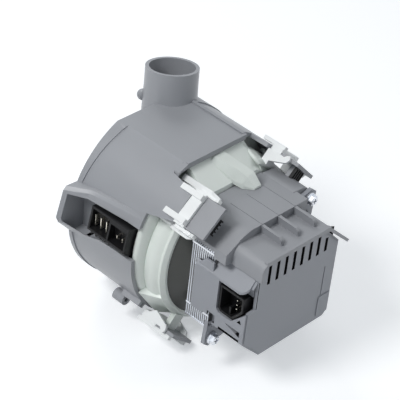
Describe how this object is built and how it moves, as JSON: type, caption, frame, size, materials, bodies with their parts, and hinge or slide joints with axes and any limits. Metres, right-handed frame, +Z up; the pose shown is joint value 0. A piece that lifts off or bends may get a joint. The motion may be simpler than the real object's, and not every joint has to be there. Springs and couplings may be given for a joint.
{
  "type": "dishwasher circulation pump with heater and motor",
  "caption": "Dishwasher circulation pump: grey heater drum with suction mouth and outlet, white latch ring, laminated motor, electronics box and ribbed drip cover.",
  "frame": {"origin": "centre of the suction mouth's rim on the shaft axis", "axes": "+Y along the shaft, out of the suction mouth; +Z up, the drip cover's side; +X to the right seen from the motor's end"},
  "size_m": [0.1534, 0.1752, 0.1577],
  "materials": {
    "grey_plastic": "warm mid-grey glass-filled plastic, satin",
    "ring_white_plastic": "natural off-white plastic",
    "latch_white_plastic": "white plastic, satin",
    "black_plastic": "black plastic, satin",
    "soft_rubber": "black seal rubber",
    "damper_rubber": "charcoal rubber",
    "heater_steel": "drawn stainless steel",
    "shaft_steel": "ground steel",
    "lamination_steel": "stacked electrical sheet",
    "zinc_steel": "bright zinc plating",
    "magnet_ferrite": "dark ferrite",
    "bearing_ceramic": "dark carbon bearing",
    "coil_copper": "enamelled copper wire",
    "contact_brass": "tinned brass",
    "impeller_plastic": "natural pump plastic",
    "can_plastic": "natural can plastic",
    "board_laminate": "green circuit board",
    "module_plastic": "black moulded package",
    "choke_enamel": "lacquered winding",
    "cast_aluminium": "plain aluminium"
  },
  "bodies": {
    "pump": {"pump_housing": "grey_plastic", "suction_seal": "soft_rubber", "intake_tube": "impeller_plastic", "heater_tube": "heater_steel", "heater_front_seal": "soft_rubber", "heater_rear_seal": "soft_rubber", "terminal_block": "black_plastic", "terminal_blades": "contact_brass", "sensor_pins": "contact_brass", "rear_flange": "ring_white_plastic", "upper_left_latch": "latch_white_plastic", "upper_right_latch": "latch_white_plastic", "lower_left_latch": "latch_white_plastic", "lower_right_latch": "latch_white_plastic", "damper_ring": "damper_rubber", "guide_wheel": "impeller_plastic", "separating_can": "can_plastic", "can_seal": "soft_rubber", "front_bearing": "bearing_ceramic", "bearing_carrier": "can_plastic", "rear_bearing": "bearing_ceramic", "stator_core": "lamination_steel", "stator_coils": "coil_copper", "coil_bobbins": "black_plastic", "stack_cleats": "zinc_steel", "electronics_housing": "grey_plastic", "stator_screws": "zinc_steel", "rear_plate": "grey_plastic", "motor_connector": "black_plastic", "connector_pins": "contact_brass", "circuit_board": "board_laminate", "power_module": "module_plastic", "bus_capacitor": "cast_aluminium", "filter_choke": "choke_enamel", "heat_sink": "cast_aluminium", "drip_cover": "grey_plastic"},
    "rotor": {"impeller": "impeller_plastic", "shaft": "shaft_steel", "rotor_core": "lamination_steel", "rotor_magnet": "magnet_ferrite", "rotor_sleeve": "impeller_plastic", "thrust_ring": "bearing_ceramic"}
  },
  "joints": [
    {"name": "rotor_spin", "type": "hinge", "parent": "pump", "child": "rotor", "pos_m": [0, -0.1, 0], "axis": [0, 1, 0], "continuous": true}
  ]
}
